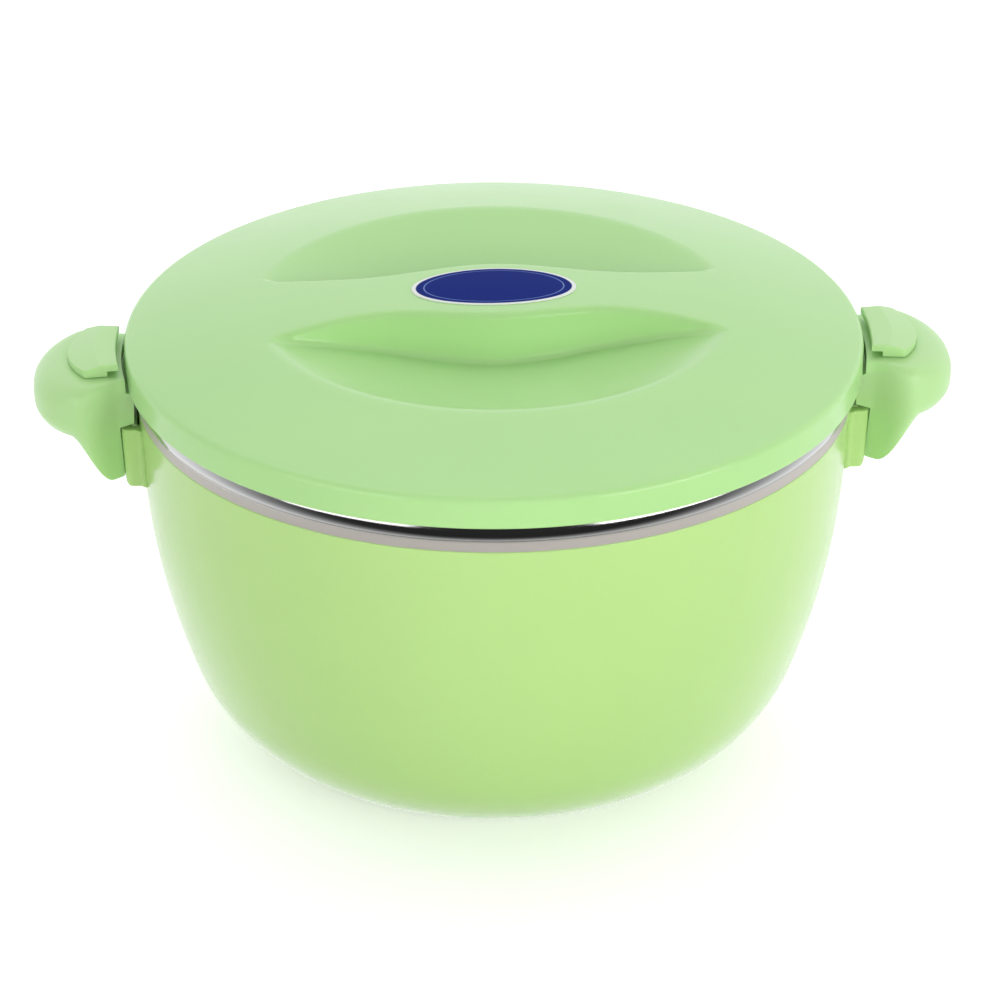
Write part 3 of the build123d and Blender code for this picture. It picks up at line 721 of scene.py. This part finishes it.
def smooth_line(at, knots, values, end_slope):
    """A smooth curve through a few points, with its slope given at both ends.

    The slopes at the inner points are those that make the bend the same on both sides of each
    point, which is one small set of linear equations. Between two points the curve is the cubic
    that fits both values and both slopes.
    """
    step = np.diff(knots)
    rise = np.diff(values) / step
    count = len(knots)
    rows, sums = np.eye(count), np.zeros(count)
    sums[0], sums[-1] = -end_slope, end_slope
    inner = np.arange(1, count - 1)
    rows[inner, inner - 1] = 1 / step[:-1]
    rows[inner, inner] = 2 / step[:-1] + 2 / step[1:]
    rows[inner, inner + 1] = 1 / step[1:]
    sums[inner] = 3 * (rise[:-1] / step[:-1] + rise[1:] / step[1:])
    slope = np.linalg.solve(rows, sums)
    span = np.clip(np.searchsorted(knots, at) - 1, 0, count - 2)
    part = (at - knots[span]) / step[span]
    return (
        (1 + 2 * part) * (1 - part) ** 2 * values[span]
        + part * (1 - part) ** 2 * step[span] * slope[span]
        + part**2 * (3 - 2 * part) * values[span + 1]
        + part**2 * (part - 1) * step[span] * slope[span + 1]
    )


def both(first, second, rounding):
    """Distance to what lies in both shapes, with the edge between them rounded."""
    over = np.hypot(np.maximum(first + rounding, 0), np.maximum(second + rounding, 0))
    return np.minimum(np.maximum(first, second), -rounding) + over


def either(first, second, rounding):
    """Distance to what lies in one shape or the other, with the corner between them filled."""
    under = np.hypot(np.maximum(rounding - first, 0), np.maximum(rounding - second, 0))
    return np.maximum(np.minimum(first, second), rounding) - under


def lid_distance(x, y, z, drop, crest, foot, edge):
    """Signed distance to the lid's skin, less than zero inside it.

    Dome: distance from its centre less its radius. Floor: its arc's radius less the distance from
    the arc's centre. Wall: how far y lies past the half width, which grows downwards with the
    draft. Filling the foot of the wall must not lift the skin off the dome where the two run out,
    so the result is never less than the distance to the dome.
    """
    radius = np.hypot(x, y)
    dome = np.hypot(radius, z - dome_centre_z) - (dome_radius - drop)
    floor = (dish_arc + drop) - np.hypot(radius - dish_centre[0], z - dish_centre[1])
    half_width = smooth_line(x, bridge_x, bridge_half, bridge_end_slope)
    wall = (np.abs(y) - half_width - (lid_top_z - z) * draft) * np.cos(np.arctan(draft)) + drop
    return np.maximum(either(both(dome, wall, crest), both(dome, floor, edge), foot), dome)


search_from, search_to, halvings = 148.0, 182.0, 26


def lid_height(x, y, drop=0.0, crest=2.6, foot=2.4, edge=0.9):
    """Height where the distance crosses zero, found by halving the span between two heights."""
    low, high = np.full(x.shape, search_from), np.full(x.shape, search_to)
    for _ in range(halvings):
        middle = (low + high) / 2
        inside = lid_distance(x, y, middle, drop, crest, foot, edge) < 0
        low, high = np.where(inside, middle, low), np.where(inside, high, middle)
    return (low + high) / 2


print("dish is", round(dish_floor_z, 2), "mm high at its middle, dome", round(dome_height(0.0), 2))

# %% [markdown]
# The grid of the middle runs in rows across the bridge. In each row the points gather where the
# surface turns, on the crest, down the wall and at its foot, because the row is walked in equal
# steps of a measure that counts both length and turning. The rows end on a circle in even angles,
# so the turned outer part of the lid joins them point to point.

# %% Middle of the lid
patch_radius, row_count = 100.0, 200
top_columns, under_columns, lid_wall = 221, 61, 2.2
length_unit, turning_unit = 2.2, 6.0


def patch_grid(columns, drop, dense=2000, **rounding):
    """Points of the dished middle, in rows along y at x = patch radius times sine.

    Each row is first measured densely. The measure adds one for each unit of length and one for
    each unit of turning, and the columns stand at equal parts of it. Each row's measure is
    shifted past the one before, so that all rows are read off in one go.
    """
    x = patch_radius * np.sin(np.linspace(-np.pi / 2, np.pi / 2, row_count + 1))[:, None]
    reach = np.sqrt(np.maximum(patch_radius**2 - x**2, 0))
    y = reach * np.linspace(-1, 1, dense)
    x_dense = np.broadcast_to(x, y.shape)
    z = lid_height(x_dense, y, drop, **rounding)
    step_y, step_z = np.diff(y, axis=1), np.diff(z, axis=1)
    heading = np.arctan2(step_z, np.maximum(step_y, 1e-9))
    turning = np.abs(np.diff(heading, axis=1, prepend=heading[:, :1]))
    measure = np.hypot(step_y, step_z) / length_unit + np.degrees(turning) / turning_unit + 1e-9
    measure = np.concatenate([np.zeros((len(x), 1)), np.cumsum(measure, axis=1)], axis=1)
    measure /= measure[:, -1:]
    shift = 2.0 * np.arange(len(x))[:, None]
    wanted = np.linspace(0, 1, columns) + shift
    y_even = np.interp(wanted.ravel(), (measure + shift).ravel(), y.ravel()).reshape(wanted.shape)
    y_even[:, 0], y_even[:, -1] = y[:, 0], y[:, -1]
    x_even = np.broadcast_to(x, y_even.shape)
    return np.stack([x_even, y_even, lid_height(x_even, y_even, drop, **rounding)], axis=-1)


top_patch = patch_grid(top_columns, 0.0)
under_patch = patch_grid(under_columns, lid_wall, dense=900, crest=0.8, foot=3.5, edge=0.9)
lid_middle = surface("lid_middle", top_patch)
lid_under = surface("lid_under", under_patch)

# %% Rim of the lid
skirt_bottom_z, skirt_inner_radius = 150.5, 132.8
lid_edge_round, inner_edge_round = 2.6, 1.2
skirt_to_z, lip_from_z = skirt_bottom_z + 0.8, skirt_bottom_z + 3.0


def dome_to_rim(radius, edge, drop, steps=26):
    """The dome from the patch out to a wall at a radius, joined to it by an arc.

    The arc's centre lies its own radius inside both the wall and the dome.
    """
    centre_r = radius - edge
    centre_z = dome_height(centre_r, drop + edge)
    first = np.arctan2(centre_z - dome_centre_z, centre_r)
    on_dome = np.linspace(patch_radius, (dome_radius - drop) * np.cos(first), steps)
    angle = np.linspace(first, 0, 9)[1:]
    dome = np.stack([on_dome, dome_height(on_dome, drop)], axis=-1)
    arc = np.stack([centre_r + edge * np.cos(angle), centre_z + edge * np.sin(angle)], axis=-1)
    return np.concatenate([dome, arc])


outer_line = dome_to_rim(lid_radius, lid_edge_round, 0.0)
inner_line = dome_to_rim(skirt_inner_radius, inner_edge_round, lid_wall)
skirt_heights = np.linspace(outer_line[-1, 1], skirt_to_z, 8)[1:-1]
skirt = np.stack([np.full(len(skirt_heights), lid_radius), skirt_heights], axis=-1)
lip = rounded_path(
    [
        (lid_radius, lip_from_z, 0.0), (lid_radius, skirt_bottom_z, 0.7),
        (skirt_inner_radius, skirt_bottom_z, 0.5), (skirt_inner_radius, lip_from_z, 0.0),
    ],
    steps=6, support=0.2,
)
rim_path = np.concatenate([outer_line, skirt, lip[1:-1], inner_line[::-1]])
lid_rim = turned("lid_rim", rim_path, 2 * row_count, closed=False)
lid = joined("lid_dome", [lid_middle, lid_under, lid_rim])
print("lid open edges:", closed_up(lid.data, merge=2e-6))
lid.data.materials.append(lid_green)
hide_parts("lid_shell")
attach(lid, "lid")

# %% [markdown]
# ## Label
#
# An oval printed label sits on the bridge. It stays bare: a deep blue field, a fine pale line just
# inside its edge and a white border. The solid has the right shape, so it keeps its mesh, and the
# print is worked out from the distance to the oval's middle in units of its half axes.

# %% Printed label
label_half_length, label_half_width = 0.030, 0.0155


def printed_label(name):
    """White border, blue field and a fine pale line, from the scaled distance to the middle."""
    material, shader, tree, place = new_finish(name, 0.4)
    shader.inputs["Specular IOR Level"].default_value = 0.02
    from_middle = distance_in_plan(tree, place, 1 / label_half_length, 1 / label_half_width)
    rings = link_in(tree, "ShaderNodeValToRGB", Fac=from_middle)
    blue, pale, white = srgb(14, 38, 124), srgb(120, 145, 205), srgb(240, 243, 240)
    stops = [
        (0.0, blue), (0.84, blue), (0.845, pale), (0.855, pale),
        (0.86, blue), (0.945, blue), (0.955, white), (1.0, white),
    ]
    ramp = rings.color_ramp
    ramp.elements[0].position, ramp.elements[0].color = stops[0]
    ramp.elements[1].position, ramp.elements[1].color = stops[-1]
    for position, colour in stops[1:-1]:
        ramp.elements.new(position).color = colour
    ink = ranged(tree, noise(tree, place, 1400.0, 2.0), To_Min=0.9, To_Max=1.06)
    inked = link_in(
        tree, "ShaderNodeMixRGB", {"blend_type": "MULTIPLY"},
        Fac=1.0, Color1=rings.outputs["Color"], Color2=ink,
    )
    feed(tree, shader, "Base Color", inked.outputs["Color"])
    rough_skin(tree, shader, noise(tree, place, 90.0, 1.0), 0.05, 0.001)
    return material


def refinish(node, material):
    """Gives a carried-over solid its finish."""
    mesh = node_object[node].data
    mesh.materials.clear()
    mesh.materials.append(material)
    print(node, "is finished in", material.name)


refinish("lid_label", printed_label("printed oval label"))

# %% [markdown]
# ## Liner, gasket, foam and plugs
#
# These show only when the lid is off, or not at all, yet each is a real piece. The liner is
# off-white polypropylene with soft gloss, the gasket pale silicone with a dull, dusty skin, and the
# foam is yellowish with fine cells. All keep their meshes, since their shapes are right.

# %% Liner and plug
def liner_plastic(name):
    """Off-white polypropylene with a slow drift of tint, patchy gloss and a fine skin."""
    material, shader, tree, place = new_finish(name, 0.35)
    drift = noise(tree, place, 14.0, 3.0)
    feed(tree, shader, "Base Color", mixed(tree, drift, srgb(240, 241, 236), srgb(232, 234, 228)))
    feed(tree, shader, "Roughness", ranged(tree, drift, To_Min=0.28, To_Max=0.42))
    rough_skin(tree, shader, noise(tree, place, 900.0, 2.0), 0.06, 0.0004)
    return material


liner_white = liner_plastic("off-white liner polypropylene")
refinish("lid_liner", liner_white)
refinish("lid_plug", liner_white)
refinish("base_plug", shell_green)

# %% Gasket and foam
def soft_skin(name, colour, deep_colour, cell_scale, depth, roughness):
    """A dull skin of fine cells: colour and bump both follow a cell pattern."""
    material, shader, tree, place = new_finish(name, roughness)
    pattern = link_in(tree, "ShaderNodeTexVoronoi", Vector=place, Scale=cell_scale)
    cells = pattern.outputs["Distance"]
    feed(tree, shader, "Base Color", mixed(tree, cells, colour, deep_colour))
    rough_skin(tree, shader, cells, 0.4, depth)
    return material


silicone = soft_skin(
    "pale silicone gasket", srgb(226, 228, 222), srgb(214, 216, 210), 1600.0, 0.0001, 0.55
)
foam = soft_skin("rigid foam", srgb(228, 208, 160), srgb(206, 184, 134), 900.0, 0.0005, 0.9)
refinish("lid_gasket", silicone)
refinish("body_insulation", foam)
refinish("lid_insulation", foam)

# %% [markdown]
# ## Handles
#
# A hood handle is a swelling form: widest where the palm rests, drawn in towards the pot, and
# narrow at the neck that stands between the rails. Its half width is therefore one function of two
# things, the distance from the pot's axis and the height. Closed loops are drawn with it at one
# level after the other: from the slot in the deck over the round shoulder, down the flank to the
# lower edge, round the lip, up the inside and along the ceiling back to the slot. The last loop
# joins the first, so the wall has its thickness and the latch's foot still finds its slot.

# %% Form of the hood
hood_back, hood_nose, hood_half = 136.2, 168.49, 31.5
hood_side_z, hood_rise, hood_wall = 145.0, 10.0, 2.4
hood_power = 2.3
drawn_heights, drawn_parts = [113.0, 128.0, 137.0, 151.0], [0.43, 0.45, 0.52, 0.66]
swell_from, swell_over = 133.0, 20.0
steel_clear, rail_clear, corner_step = 133.0, 0.3, 0.05
ledge_z, rail_ledge_z = 149.3, 134.8
grip_edge_z, swing_from, swing_to = 135.1, 139.5, 155.0
neck_bottom_z = rail_top_z - rail_height + stop_height
cavity_back = rail_front_x + rail_clear + hood_wall


def eased(part):
    """Zero below 0, one above 1, and 3 part squared less 2 part cubed between."""
    part = np.clip(part, 0, 1)
    return part**2 * (3 - 2 * part)


def half_width(away, up, nose, widest):
    """Half width of the hood at a distance from the axis and a height.

    A full oval, one less the power of the way to the nose, all to one over that power, is drawn in
    near the pot. It is drawn in more, the lower it is.
    """
    towards = np.clip((away - hood_back) / (nose - hood_back), 0, 1)
    oval = (1 - towards**hood_power) ** (1 / hood_power)
    drawn_in = np.interp(up, drawn_heights, drawn_parts)
    return widest * oval * (1 - (1 - drawn_in) * (1 - eased((away - swell_from) / swell_over)))


def lower_edge(away):
    """Height of the lower edge: level under the grip, and an S down to the foot of the neck."""
    swing = eased((away - swing_from) / (swing_to - swing_from))
    return neck_bottom_z + (grip_edge_z - neck_bottom_z) * swing


def leaning(distance):
    """The distance at each height of a line that leans with the rails below their top."""
    return lambda up: distance - np.maximum(rail_top_z - up, 0) * lean_slope


flank_start = leaning(rail_front_x + rail_clear)
cavity_start = leaning(cavity_back)


def back_of_hood(up):
    """Distance of the hood's back: clear of the lid, then of the steel, then of the rails."""
    behind_flank = flank_start(up) - corner_step
    return np.where(up > ledge_z, hood_back, np.where(up > rail_ledge_z, steel_clear, behind_flank))


print("hood is", 2 * hood_half, "mm wide and its neck ends", round(neck_bottom_z, 2), "mm up")

# %% Loops of the hood
front_count, back_count = 121, 22
first_away, rounds = 145.0, 6
lip_depth = 0.9
round_nose = np.linspace(-np.pi / 2, np.pi / 2, front_count)
towards_nose = np.abs(np.cos(round_nose)) ** (2 / hood_power)
towards_nose[[0, -1]] = 0.0
back_part = np.linspace(1, -1, back_count)


def hood_loop(top, part, nose, widest, start_of, back_of):
    """One loop: round the nose from one flank to the other, and across the back again.

    Its height is top, lowered by a part of the way from there to the lower edge. Where the flank
    starts depends on the height, so the two are worked out in turn a few times. Beside the lid
    and the steel the back is part of a circle round the pot, and lower down it is straight.
    """
    away = np.full(front_count, first_away)
    for _ in range(rounds):
        up = top + part * (lower_edge(away) + lip_depth - top)
        start = start_of(up)
        away = start + (nose - start) * towards_nose
    side = np.sign(round_nose) * half_width(away, up, nose, widest)
    corner = np.minimum(back_of(up[-1]), start[-1] - corner_step)
    across = half_width(corner, up[-1], nose, widest) * back_part
    circles = corner in (hood_back, steel_clear)
    back_away = np.sqrt(corner**2 - across**2) if circles else np.full(back_count, corner)
    back = np.stack([back_away, across, np.full(back_count, up[-1])], axis=-1)
    return np.concatenate([np.stack([away, side, up], axis=-1), back])


# %% Skins of the hood
outer_nose_in, inner_nose_in, shoulder_in = 13.0, 11.0, 3.5
tuck_nose, tuck_half, tuck_power = 2.5, 2.0, 4
slot_low, slot_high, slot_half = 141.2, 150.5, 6.7
shoulder_turns = np.radians(np.linspace(88, 0, 15))
flank_parts = np.linspace(0, 1, 34)[1:]
lip_bends = np.radians(np.linspace(180, 0, 7))[1:-1]
deck_parts = (0.45, 0.9)


def hood_skin(nose, half, rise, nose_in, start_of, back_of, turns, parts):
    """Loops of one skin, from the deck over the round shoulder and down the flank.

    On the shoulder a loop's height grows with the sine of its turn, and its nose and half width
    shrink with one less the cosine. A loop of the flank lies the same part of the way down to the
    lower edge all round, and is tucked in by a power of that part.
    """
    loops = []
    for turn in turns:
        top, shrink = hood_side_z + rise * np.sin(turn), 1 - np.cos(turn)
        size = nose - nose_in * shrink, half - shoulder_in * shrink
        loops.append(hood_loop(top, 0.0, *size, start_of, back_of))
    for part in parts:
        tuck = part**tuck_power
        size = nose - tuck_nose * tuck, half - tuck_half * tuck
        loops.append(hood_loop(hood_side_z, part, *size, start_of, back_of))
    return loops


def slot_loop(around, height):
    """The point of the slot's edge that lies in the direction of each point of a loop."""
    centre = np.array([(slot_low + slot_high) / 2, 0.0])
    reach = np.array([(slot_high - slot_low) / 2, slot_half])
    heading = around[:, :2] - centre
    scale = 1 / np.abs(heading / reach).max(axis=1, keepdims=True)
    return np.concatenate([centre + heading * scale, np.full((len(around), 1), height)], axis=-1)


def blend(first, last, part, height):
    """A loop part of the way from one loop to another, at one height."""
    middle = first + (last - first) * part
    middle[:, 2] = height
    return middle


def hood_points():
    """All loops of the hood as one grid. The first and the last lie on the slot.

    The lip is half an ellipse: the middle of the two skins' last loops, half their difference
    times the cosine, and the lip's depth times the sine downwards.
    """
    outside = hood_skin(
        hood_nose, hood_half, hood_rise, outer_nose_in,
        flank_start, back_of_hood, shoulder_turns, flank_parts,
    )
    inside = hood_skin(
        hood_nose - hood_wall, hood_half - hood_wall, hood_rise - hood_wall, inner_nose_in,
        cavity_start, cavity_start, shoulder_turns[::2], flank_parts[::2],
    )[::-1]
    lip_middle, lip_half = (outside[-1] + inside[0]) / 2, (inside[0] - outside[-1]) / 2
    lip = [
        lip_middle + lip_half * np.cos(bend) - np.array([0.0, 0.0, lip_depth * np.sin(bend)])
        for bend in lip_bends
    ]
    top_z, ceiling_z = hood_side_z + hood_rise, hood_side_z + hood_rise - hood_wall
    slot_top, slot_under = slot_loop(outside[0], top_z), slot_loop(inside[-1], ceiling_z)
    deck = [slot_top] + [blend(slot_top, outside[0], part, top_z) for part in deck_parts]
    ceiling = [blend(slot_under, inside[-1], deck_parts[-1], ceiling_z), slot_under]
    return np.stack(deck + outside + lip + inside + ceiling)


# %% [markdown]
# The neck has the shape of a T in plan. Its bar stands behind the lips of the two rails and its
# stem between them. It is carried down along the wall as the rails were, and joined with the hood,
# so that the handle is one moulding.

# %% Neck and whole handle
neck_clear, neck_lift, neck_edge_round, neck_toe_round = 0.3, 0.2, 0.3, 1.2
neck_half, stem_half = rail_web_inner - neck_clear, rail_lip_inner - neck_clear
neck_back_x, neck_front_x = rail_wall_x + neck_clear, rail_lip_x - neck_clear
neck_top_z = rail_top_z + neck_lift
neck_outline = rounded_path(
    [
        (neck_back_x, -neck_half, 0.3), (neck_front_x, -neck_half, 0.3),
        (neck_front_x, -stem_half, 0.0), (cavity_back, -stem_half, 0.3),
        (cavity_back, stem_half, 0.3), (neck_front_x, stem_half, 0.0),
        (neck_front_x, neck_half, 0.3), (neck_back_x, neck_half, 0.3),
    ],
    steps=4, support=0.1,
)
sharp_from = np.radians(50)
hood_grid = hood_points()
for side, node in ((1, "handle_right"), (-1, "handle_left")):
    hood = surface("hood", hood_grid, join_rows=True, join_columns=True)
    hood.data.set_sharp_from_angle(angle=sharp_from)
    neck = carried_down(
        "neck", neck_outline, neck_top_z, neck_top_z - neck_bottom_z,
        neck_edge_round, neck_toe_round, cavity_back,
    )
    pieces = [to_side(hood, side), to_side(neck, side)]
    handle = joined(node.replace("handle", "hood_handle"), pieces)
    # The handle's green is lightened, as painted light against the shade it gets.
    handle.data.materials.append(handle_green_painted_light)
    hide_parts(node)
    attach(handle, "pot")

# %% [markdown]
# The thumb latches are small mouldings in the handles' plastic. Their solids have the right shape,
# so they keep their meshes and only get the finish.

# %% Latches
# The latches take the handles' green, lightened as painted light against their shade.
for node in ("latch_left", "latch_right"):
    refinish(node, handle_green_painted_light)
